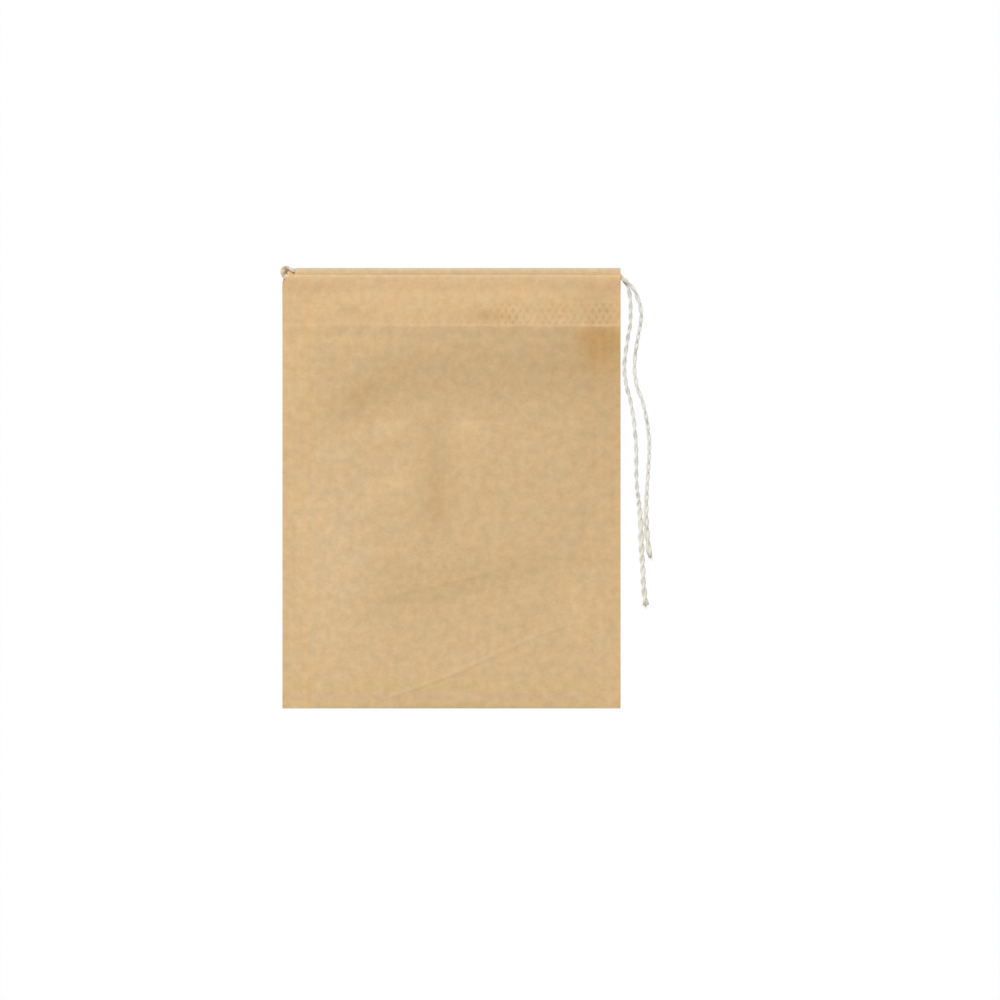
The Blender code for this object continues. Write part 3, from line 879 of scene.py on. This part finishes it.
def fold_strip(x, s):
    """The folded place of the points at x across and s along the strip, and their stretches."""
    y = np.zeros_like(s)
    z = np.zeros_like(s)
    notch = np.zeros_like(s)
    part = np.clip(np.searchsorted(starts, s, side="right") - 1, BACK_FLAP, FRONT_FLAP)
    local = s - starts[part]

    here = part == BACK_FLAP
    y[here] = TOP - FLAP + local[here]
    z[here] = back_flap_z(y[here])
    notch[here] = flap_notch(TOP - y[here])

    here = part == BACK_HEM
    angle = math.pi / 2 - local[here] / HEM_RADIUS
    y[here] = BACK_TANGENT + HEM_RADIUS * np.cos(angle)
    z[here] = TABLE_LAYER + HEM_RADIUS + HEM_RADIUS * np.sin(angle)
    depth = TOP - PAPER / 2 - y[here]
    notch[here] = np.where(angle > 0, flap_notch(depth), back_wall_notch(depth))

    here = part == BACK_WALL
    y[here] = BACK_TANGENT - local[here]
    z[here] = TABLE_LAYER
    notch[here] = back_wall_notch(TOP - y[here])

    here = part == BOTTOM_FOLD
    angle = local[here] / (FOLD_GAP / 2) - math.pi / 2
    y[here] = FOLD_END - FOLD_GAP / 2 * np.cos(angle)
    z[here] = TABLE_LAYER + FOLD_GAP / 2 + FOLD_GAP / 2 * np.sin(angle)

    here = part == FRONT_WALL
    y[here] = FOLD_END + local[here]
    z[here] = front_wall_z(x[here], y[here]) + fine_relief(x[here], y[here])
    z[here] += seal_ribs(x[here]) * ease((BAND_LOW - y[here]) / RIBS_END)
    z[here] -= HEM_PRESS_DEPTH * hem_press(x[here], y[here]) * pressed_dots(x[here], y[here])
    notch[here] = front_wall_notch(FRONT_TOP - y[here])

    here = part == FRONT_HEM
    angle = math.pi / 2 - local[here] / HEM_RADIUS
    y[here] = FRONT_TANGENT + HEM_RADIUS * np.cos(angle)
    base = front_flap_z(x[here], FRONT_TANGENT)
    z[here] = base + HEM_RADIUS + HEM_RADIUS * np.sin(angle)
    z[here] += fine_relief(x[here], FRONT_TANGENT) * (0.5 + 0.5 * np.sin(angle))
    depth = FRONT_TOP - PAPER / 2 - y[here]
    notch[here] = np.where(angle < 0, flap_notch(depth), front_wall_notch(depth))

    here = part == FRONT_FLAP
    y[here] = FRONT_TANGENT - local[here]
    z[here] = front_flap_z(x[here], y[here])
    notch[here] = flap_notch(FRONT_TOP - y[here])

    x = x + notch * ease((-x - SEAL_LINE) / SIDE_SEAL)
    return np.column_stack([x, y, z]), part


folded, stretch_of_point = fold_strip(flat[:, 0].copy(), flat[:, 1].copy())
paper.data.vertices.foreach_set("co", folded.ravel())
paper.data.update()
print("folded box, mm:", np.round(1000 * folded.min(0), 2), np.round(1000 * folded.max(0), 2))

# %% [markdown]
# ## Tone of the paper
# Filter paper is thin enough for its layers to change its colour, and its tone is uneven. On top
# of that, the colour carries painted light and shade. The side seals are a little lighter. The
# whole hem is painted lighter, with more painted light on it over the channel. Over the open bag,
# painted shade lies in the hollows and on the slopes that face away from the light, with a brown
# painted shade in one corner under the hem, and painted light lies on the slopes that face it.
# Folded and cut edges get painted highlights. A crease gets a painted highlight on its upper side
# and painted shade on its lower one, and the back wall's corner gets painted light inside the
# string's turn. All this could be painted by hand. Here it is a sum of soft spots and lines, kept
# as a colour on every point, and the material multiplies its own colour with it.

# %% The soft spots
# centre x and y, reach along and across, turn in degrees, then the change in red, green and blue
# over the open bag: painted shade in its hollows, on slopes that face away from the light and in a
# brown corner under the hem, painted light on slopes that face it, and the paper's own uneven tone
WALL_SHADE_LIGHT_AND_TONE = (
    ((10.0, 25.0, 30.0, 8.0, 0.0), (-0.075, -0.085, -0.10)),
    ((-16.0, 30.7, 17.0, 2.6, 0.0), (0.06, 0.06, 0.06)),
    ((-14.0, 20.0, 11.0, 3.6, 33.0), (-0.03, -0.04, -0.07)),
    ((-20.5, 18.5, 6.0, 3.0, 38.0), (-0.07, -0.08, -0.11)),
    ((31.5, 30.5, 5.0, 4.5, 0.0), (-0.12, -0.225, -0.42)),
    ((27.0, 24.0, 10.0, 5.0, 0.0), (-0.03, -0.04, -0.06)),
    ((32.5, 15.0, 4.5, 16.0, 0.0), (-0.06, -0.065, -0.08)),
    ((-3.6, 2.0, 9.5, 2.6, 88.0), (-0.07, -0.085, -0.12)),
    ((-2.6, -5.5, 4.0, 3.0, 80.0), (-0.04, -0.05, -0.07)),
    ((3.2, 12.5, 3.5, 4.0, 0.0), (0.08, 0.08, 0.08)),
    ((-13.0, 13.0, 5.0, 2.8, 25.0), (0.085, 0.085, 0.09)),
    ((-12.0, 1.3, 6.5, 3.6, 30.0), (0.085, 0.085, 0.09)),
    ((-31.0, -4.5, 4.5, 5.0, 0.0), (0.045, 0.045, 0.05)),
    ((-26.0, -21.0, 10.0, 22.0, 0.0), (0.06, 0.07, 0.10)),
    ((-23.0, -9.0, 15.0, 8.0, 90.0), (0.01, 0.02, 0.06)),
    ((-34.0, 26.0, 5.0, 13.0, 0.0), (0.07, 0.07, 0.07)),
    ((-25.0, 7.5, 6.0, 3.0, 35.0), (0.03, 0.04, 0.07)),
    ((2.0, -19.5, 19.0, 2.6, 14.0), (-0.04, -0.045, -0.07)),
    ((-11.0, -17.5, 5.0, 2.5, 10.0), (-0.03, -0.035, -0.05)),
    ((26.4, -25.5, 4.0, 8.0, 0.0), (0.08, 0.08, 0.085)),
    ((6.0, -38.0, 34.0, 7.0, 0.0), (0.04, 0.04, 0.045)),
)
HEM_TINTS = (
    ((7.5, 35.8, 4.0, 1.5, 0.0), (-0.11, -0.14, -0.20)),
    ((31.0, 36.5, 3.6, 3.0, 0.0), (-0.10, -0.11, -0.13)),
    ((-20.5, 36.0, 3.5, 2.2, 0.0), (-0.06, -0.07, -0.09)),
    ((3.0, 35.5, 8.0, 2.0, 0.0), (-0.03, -0.035, -0.05)),
    ((-33.0, 42.5, 2.5, 2.5, 0.0), (0.07, 0.07, 0.08)),
)
# painted light on the back wall's corner, which lifts the shadow inside the string's turn
BACK_CORNER_PAINTED_LIGHT = (((-33.8, 44.7, 1.3, 1.0, 0.0), (0.55, 0.55, 0.60)),)
print("soft spots:", len(WALL_SHADE_LIGHT_AND_TONE) + len(HEM_TINTS) + len(BACK_CORNER_PAINTED_LIGHT))

# %% The lines, in mm: centre and reach, then the change in red, green and blue
# at the edges of the side seals, across the bag
SEAL_LINES = (
    (-34.4, 0.5, (0.05, -0.01, -0.07)),
    (-30.4, 0.4, (0.045, -0.009, -0.063)),
    (28.8, 0.4, (0.03, -0.006, -0.042)),
    (34.4, 0.5, (0.04, -0.008, -0.056)),
)
# down from the front fold: a painted highlight at its edge, painted light on the hem over the
# empty channel, and a painted highlight at the flap's end
HEM_HIGHLIGHT_LINES = (
    (0.2, 0.3, (0.064, 0.08, 0.12)),
    (3.6, 1.5, (0.11, 0.11, 0.11)),
    (FLAP / MM - 0.2, 0.3, (0.048, 0.06, 0.09)),
)
# up from the bottom fold
BOTTOM_LINES = (
    (0.8, 0.6, (-0.02, 0.0, -0.08)),
    (2.4, 0.5, (0.02, -0.02, 0.04)),
    (4.8, 1.2, (0.0, 0.01, -0.05)),
)
SEAL_TINT = (0.015, 0.0135, 0.009)
# the whole hem a little lighter: painted light
WHOLE_HEM_PAINTED_LIGHT = (0.08, 0.065, 0.07)
# a paler, greyer strip along the back fold: painted highlight
BACK_FOLD_HIGHLIGHT = (-0.04, 0.13, 0.34)
# the bottom fold lighter: painted highlight
BOTTOM_FOLD_HIGHLIGHT = (0.2, 0.2, 0.2)
# painted highlight on a crease's upper side and painted shade on its lower one
CREASE_PAINTED_LIGHT_AND_SHADE = (0.315, 0.35, 0.455)
DOT_TINT = (-0.15, -0.21, -0.30)
HUE_TINT = (0.7, -0.2, -1.2)
HUE_WAVES = (11, 7 * MM, 0.014)
SEAL_EDGE = 0.5 * MM
BACK_FOLD_EDGE = 0.5 * MM
HEM_EDGE = 0.4 * MM
# centre and reach of a crease's painted highlight on its upper side and of its painted shade on
# its lower one, up from its line
CREASE_LIGHT = (0.4, 0.35)
CREASE_DARK = (-0.35, 0.3)
print("tinted lines:", len(SEAL_LINES) + len(HEM_HIGHLIGHT_LINES) + len(BOTTOM_LINES) + len(CREASES))

# %% The tint of every point
x, y = folded[:, 0], folded[:, 1]
tint = np.ones((len(x), 3))


def add_tint(where, change):
    """Adds the change in full where the first value is 1, and nothing where it is 0."""
    tint[:] += where[:, None] * np.array(change)


on_back = stretch_of_point <= BACK_WALL
on_front = (stretch_of_point >= BOTTOM_FOLD) & (stretch_of_point <= FRONT_HEM)
from_bottom_on = stretch_of_point >= BOTTOM_FOLD
in_side_seal = ease((np.abs(x) - SEAL_LINE) / SEAL_EDGE)
in_hem = ease((y - BAND_LOW + HEM_EDGE / 2) / HEM_EDGE)
on_back_fold = ease((y - FRONT_TOP) / BACK_FOLD_EDGE) * (stretch_of_point <= BACK_HEM)
for spots, there in (
    (WALL_SHADE_LIGHT_AND_TONE, 1 - in_hem),
    (HEM_TINTS, in_hem * on_front),
    (BACK_CORNER_PAINTED_LIGHT, in_hem * on_back),
):
    for place, change in spots:
        add_tint(soft_spot(x, y, *place) * there, change)
for lines, mark, there in (
    (SEAL_LINES, x / MM, 1),
    (HEM_HIGHLIGHT_LINES, (FRONT_TOP - y) / MM, on_front),
    (BOTTOM_LINES, (y - BOTTOM) / MM, from_bottom_on),
):
    for centre, reach, change in lines:
        add_tint(bell(mark, centre, reach) * there, change)
add_tint(in_side_seal * (1 - in_hem), SEAL_TINT)
add_tint(in_hem, WHOLE_HEM_PAINTED_LIGHT)
add_tint(on_back_fold, BACK_FOLD_HIGHLIGHT)
add_tint(stretch_of_point == BOTTOM_FOLD, BOTTOM_FOLD_HIGHLIGHT)
for points, rise, *_ in CREASES:
    signed, strength = off_line(x, y, points)
    lit = bell(signed, *CREASE_LIGHT) - bell(signed, *CREASE_DARK)
    add_tint(lit * strength * rise * (stretch_of_point == FRONT_WALL), CREASE_PAINTED_LIGHT_AND_SHADE)
add_tint(cockle(x, y, *HUE_WAVES), HUE_TINT)
add_tint(hem_press(x, y) * pressed_dots(x, y) * on_front, DOT_TINT)
colour_points(paper.data, "tint", tint)
print("tint from", np.round(tint.min(0), 2), "to", np.round(tint.max(0), 2))

# %% [markdown]
# ## The paper's thickness
# So far the paper is a surface. A Solidify modifier gives it its real thickness, half of it on
# each side, and it is applied, so that the finished mesh is a closed skin. Smooth shading stops
# at the sharp cut edges.

# %% Thickness
SHARP_EDGE = 50
thicken = paper.modifiers.new("paper_thickness", "SOLIDIFY")
thicken.thickness = PAPER
thicken.offset = 0.0
thicken.use_even_offset = True
bpy.ops.object.select_all(action="DESELECT")
paper.select_set(True)
bpy.context.view_layer.objects.active = paper
bpy.ops.object.modifier_apply(modifier=thicken.name)
bpy.ops.object.shade_smooth_by_angle(angle=math.radians(SHARP_EDGE))
triangles = sum(len(face.vertices) - 2 for face in paper.data.polygons)
print("triangles of the paper:", triangles)

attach(paper, "root")
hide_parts("filter_bag")
print("paper in the scene:", paper.name)

# %% [markdown]
# ## Materials
# Unbleached filter paper is a matt tan felt of long plant fibres. Three things make it up: a
# cloudy density, fibres that lie in all directions, and a few dark flecks of bark. The string is
# creamy cotton, with fibres that run along each ply. A picture of real paper would be the other
# way, but noise patterns need no file and have no seams.

# %% Helpers for node materials


def new_material(name):
    made = bpy.data.materials.new(name)
    made.use_nodes = True
    return made, made.node_tree, made.node_tree.nodes["Principled BSDF"]


def node(tree, kind, **settings):
    """A new node, with its inputs and its own settings given by name."""
    made = tree.nodes.new(kind)
    for key, value in settings.items():
        if key in made.inputs:
            made.inputs[key].default_value = value
        else:
            setattr(made, key, value)
    return made


def join(tree, out_node, out_name, in_node, in_name):
    tree.links.new(out_node.outputs[out_name], in_node.inputs[in_name])


def on_values(tree, kind, operation, values, **settings):
    """A Math or Vector Math node on two values, each a number, a colour or an output socket."""
    made = node(tree, kind, operation=operation, **settings)
    for socket, value in zip(made.inputs, values):
        if isinstance(value, bpy.types.NodeSocket):
            tree.links.new(value, socket)
        else:
            socket.default_value = value
    return made.outputs[0]


def math_node(tree, operation, a, b, clamp=False):
    """A Math node on two values."""
    return on_values(tree, "ShaderNodeMath", operation, (a, b), use_clamp=clamp)


def multiplied(tree, a, b):
    """One colour times another."""
    return on_values(tree, "ShaderNodeVectorMath", "MULTIPLY", (a, b))


def noise(tree, vector, **settings):
    """A noise pattern on the given coordinates, as a value round 0.5."""
    pattern = node(tree, "ShaderNodeTexNoise", **settings)
    tree.links.new(vector, pattern.inputs["Vector"])
    return pattern.outputs["Fac"]


def two_tones(tree, value, *stops):
    """A ramp between two colours, each with the value at which it stands."""
    ramp = node(tree, "ShaderNodeValToRGB")
    for stop, (position, colour) in zip(ramp.color_ramp.elements, stops):
        stop.position = position
        stop.color = colour
    tree.links.new(value, ramp.inputs["Fac"])
    return ramp.outputs["Color"]


def add_bump(tree, shader, height, strength, distance):
    bump = node(tree, "ShaderNodeBump", Strength=strength, Distance=distance)
    tree.links.new(height, bump.inputs["Height"])
    join(tree, bump, "Normal", shader, "Normal")


def seen_directly(tree):
    """1 for what the camera sees straight, in a gloss or through something clear."""
    rays = node(tree, "ShaderNodeLightPath").outputs
    straight_or_gloss = math_node(tree, "MAXIMUM", rays["Is Camera Ray"], rays["Is Glossy Ray"])
    return math_node(tree, "MAXIMUM", straight_or_gloss, rays["Is Transmission Ray"])


# %% Filter paper: its fibres, clouds and flecks
PAPER_COLOUR = (0.649, 0.449, 0.238)
BARK_COLOUR = (0.30, 0.17, 0.07, 1.0)
FIBRE_STRETCH = (8.0, 120.0, 1.0)
# the turn of each layer of fibres in degrees, and how many steps of the pattern it is shifted
FIBRE_LAYERS = ((8, 1), (52, 2), (97, 3), (141, 4))
LAYER_SHIFT = (3.1, 1.7, 0.0)
FIBRE_SHARE = 0.085
CLOUD_SHARE = 0.34
FLECK_SHARE = 0.22
FLECKS_FROM = 0.70
FLECKS_CONTRAST = 6.0

paper_material, tree, shader = new_material("unbleached_filter_paper")
flat_place = node(tree, "ShaderNodeUVMap", uv_map="UVMap").outputs["UV"]


def layer_of_fibres(turn, shifts):
    """Long thin streaks in one direction, as a value round 0.5."""
    mapping = node(tree, "ShaderNodeMapping", Scale=FIBRE_STRETCH)
    mapping.inputs["Rotation"].default_value = (0.0, 0.0, math.radians(turn))
    mapping.inputs["Location"].default_value = [shifts * shift for shift in LAYER_SHIFT]
    tree.links.new(flat_place, mapping.inputs["Vector"])
    return noise(tree, mapping.outputs["Vector"], noise_dimensions="2D", Scale=1.0, Detail=2.0,
                 Roughness=0.5, Distortion=0.6)


fibres = layer_of_fibres(*FIBRE_LAYERS[0])
for layer in FIBRE_LAYERS[1:]:
    fibres = math_node(tree, "ADD", fibres, layer_of_fibres(*layer))
fibres = math_node(tree, "SUBTRACT", fibres, len(FIBRE_LAYERS) / 2)
cloud = noise(tree, flat_place, noise_dimensions="2D", Scale=5.0, Detail=5.0, Roughness=0.62)
cloud = math_node(tree, "SUBTRACT", cloud, 0.5)
fleck = noise(tree, flat_place, noise_dimensions="2D", Scale=22.0, Detail=1.0, Roughness=0.4)
fleck = math_node(tree, "SUBTRACT", fleck, FLECKS_FROM)
fleck = math_node(tree, "MULTIPLY", fleck, FLECKS_CONTRAST, clamp=True)
print("layers of fibres:", len(FIBRE_LAYERS))

# %% Filter paper: its colour and surface
# strength and depth of the bump
PAPER_BUMP = (0.4, 0.05 * MM)
level = math_node(tree, "MULTIPLY", cloud, CLOUD_SHARE)
level = math_node(tree, "ADD", level, math_node(tree, "MULTIPLY", fibres, FIBRE_SHARE))
level = math_node(tree, "ADD", level, 1.0)
tint_of_point = node(tree, "ShaderNodeAttribute", attribute_name="tint").outputs["Color"]
coloured = multiplied(tree, multiplied(tree, tint_of_point, level), PAPER_COLOUR)
mixed = node(tree, "ShaderNodeMix", data_type="RGBA")
tree.links.new(math_node(tree, "MULTIPLY", fleck, FLECK_SHARE), mixed.inputs["Factor"])
tree.links.new(coloured, mixed.inputs[6])
mixed.inputs[7].default_value = BARK_COLOUR
tree.links.new(mixed.outputs[2], shader.inputs["Base Color"])
relief = math_node(tree, "ADD", math_node(tree, "MULTIPLY", fibres, 0.5), cloud)
add_bump(tree, shader, relief, *PAPER_BUMP)
shader.inputs["Roughness"].default_value = 0.92
shader.inputs["Specular IOR Level"].default_value = 0.25
paper.data.materials.clear()
paper.data.materials.append(paper_material)
print("nodes of the paper:", len(tree.nodes))

# %% Cotton string
STRING_COLOUR = (0.91, 0.89, 0.825, 1.0)
STRING_SHADOW = (0.74, 0.715, 0.64, 1.0)
STRAND_STRETCH = (16.0, 0.9, 1.0)
STRING_BUMP = (0.6, 0.04 * MM)
string_material, tree, shader = new_material("twisted_cotton")
mapping = node(tree, "ShaderNodeMapping", Scale=STRAND_STRETCH)
join(tree, node(tree, "ShaderNodeUVMap", uv_map="UVMap"), "UV", mapping, "Vector")
strands = noise(tree, mapping.outputs["Vector"], Scale=1.0, Detail=3.0, Roughness=0.6,
                Distortion=0.3)
cotton = two_tones(tree, strands, (0.3, STRING_SHADOW), (0.62, STRING_COLOUR))
shade_of_point = node(tree, "ShaderNodeAttribute", attribute_name="shade").outputs["Color"]
tree.links.new(multiplied(tree, cotton, shade_of_point), shader.inputs["Base Color"])
add_bump(tree, shader, strands, *STRING_BUMP)
shader.inputs["Roughness"].default_value = 0.85
shader.inputs["Specular IOR Level"].default_value = 0.3
for piece in (short_tail, held_string, long_tail):
    piece.data.materials.append(string_material)
print("nodes of the string:", len(tree.nodes))

# %% Loose fibres
FIBRE_DARK = (0.57, 0.55, 0.49, 1.0)
FIBRE_PALE = (0.75, 0.73, 0.67, 1.0)
fibre_material, tree, shader = new_material("loose_cotton_fibre")
place = node(tree, "ShaderNodeTexCoord").outputs["Object"]
hairs = noise(tree, place, Scale=900.0, Detail=1.0, Roughness=0.5)
tone = two_tones(tree, hairs, (0.35, FIBRE_DARK), (0.65, FIBRE_PALE))
tree.links.new(tone, shader.inputs["Base Color"])
shader.inputs["Roughness"].default_value = 0.8
for piece in (short_fibres, long_fibres):
    piece.data.materials.append(fibre_material)
print("nodes of the fibres:", len(tree.nodes))

# %% [markdown]
# ## Table and light
# The photograph is a plain product shot on pure white, in soft light from all round, with a
# little more of it from the upper left. More light on the bag would bleach it. So the table is a
# real pale floor, and only what is seen of it directly, or in a gloss, is shown as white, with
# a trace of the bag's shadow left in it. The room behind the table is shown white in the same way.

# %% White where it is seen directly
WHITE = (1.0, 1.0, 1.0, 1.0)


def show_white(tree, plain, white, share, output):
    """Mixes white over a plain shader, by the share, for what is seen directly."""
    shown = node(tree, "ShaderNodeMixShader")
    sources = (math_node(tree, "MULTIPLY", seen_directly(tree), share), plain, white)
    for source, socket in zip(sources, shown.inputs):
        tree.links.new(source, socket)
    join(tree, shown, "Shader", output, "Surface")


# %% The white table
TABLE_SIZE = 6.0
TABLE_DROP = 0.05 * MM
TABLE_WHITE = 0.97
TABLE_COLOUR = (0.92, 0.92, 0.92, 1.0)
bpy.ops.mesh.primitive_plane_add(size=TABLE_SIZE, location=(0, 0, -TABLE_DROP))
table = bpy.context.object
table.name = "white_table"
table_material, tree, shader = new_material("white_table")
shader.inputs["Base Color"].default_value = TABLE_COLOUR
shader.inputs["Roughness"].default_value = 0.9
shader.inputs["Specular IOR Level"].default_value = 0.0
glow = node(tree, "ShaderNodeEmission", Color=WHITE, Strength=1.0).outputs[0]
table_end = tree.nodes["Material Output"]
show_white(tree, shader.outputs["BSDF"], glow, TABLE_WHITE, table_end)
table.data.materials.append(table_material)
print("table, m:", TABLE_SIZE, "wide")

# %% Light from the room
ROOM_LIGHT = 0.55
world = bpy.data.worlds.new("soft_room")
bpy.context.scene.world = world
world.use_nodes = True
tree = world.node_tree
room = tree.nodes["Background"]
room.inputs["Color"].default_value = WHITE
room.inputs["Strength"].default_value = ROOM_LIGHT
backdrop = node(tree, "ShaderNodeBackground", Color=WHITE, Strength=1.0).outputs[0]
show_white(tree, room.outputs[0], backdrop, 1.0, tree.nodes["World Output"])
print("light from the room:", ROOM_LIGHT)

# %% Light from the upper left, turned towards the bag
KEY_PLACE = (-0.75, 1.0, 2.1)
KEY_SIZE = 1.1
KEY_POWER = 32.0
bpy.ops.object.light_add(type="AREA", location=KEY_PLACE)
key = bpy.context.object
key.name = "window_light"
key.data.shape = "DISK"
key.data.size = KEY_SIZE
key.data.energy = KEY_POWER
distance = np.linalg.norm(KEY_PLACE)
tilt = math.acos(KEY_PLACE[2] / distance)
key.rotation_euler = (tilt, 0.0, math.atan2(KEY_PLACE[1], KEY_PLACE[0]) + math.pi / 2)
bpy.context.scene.view_settings.view_transform = "Standard"
print("window light, m away:", round(float(distance), 2))
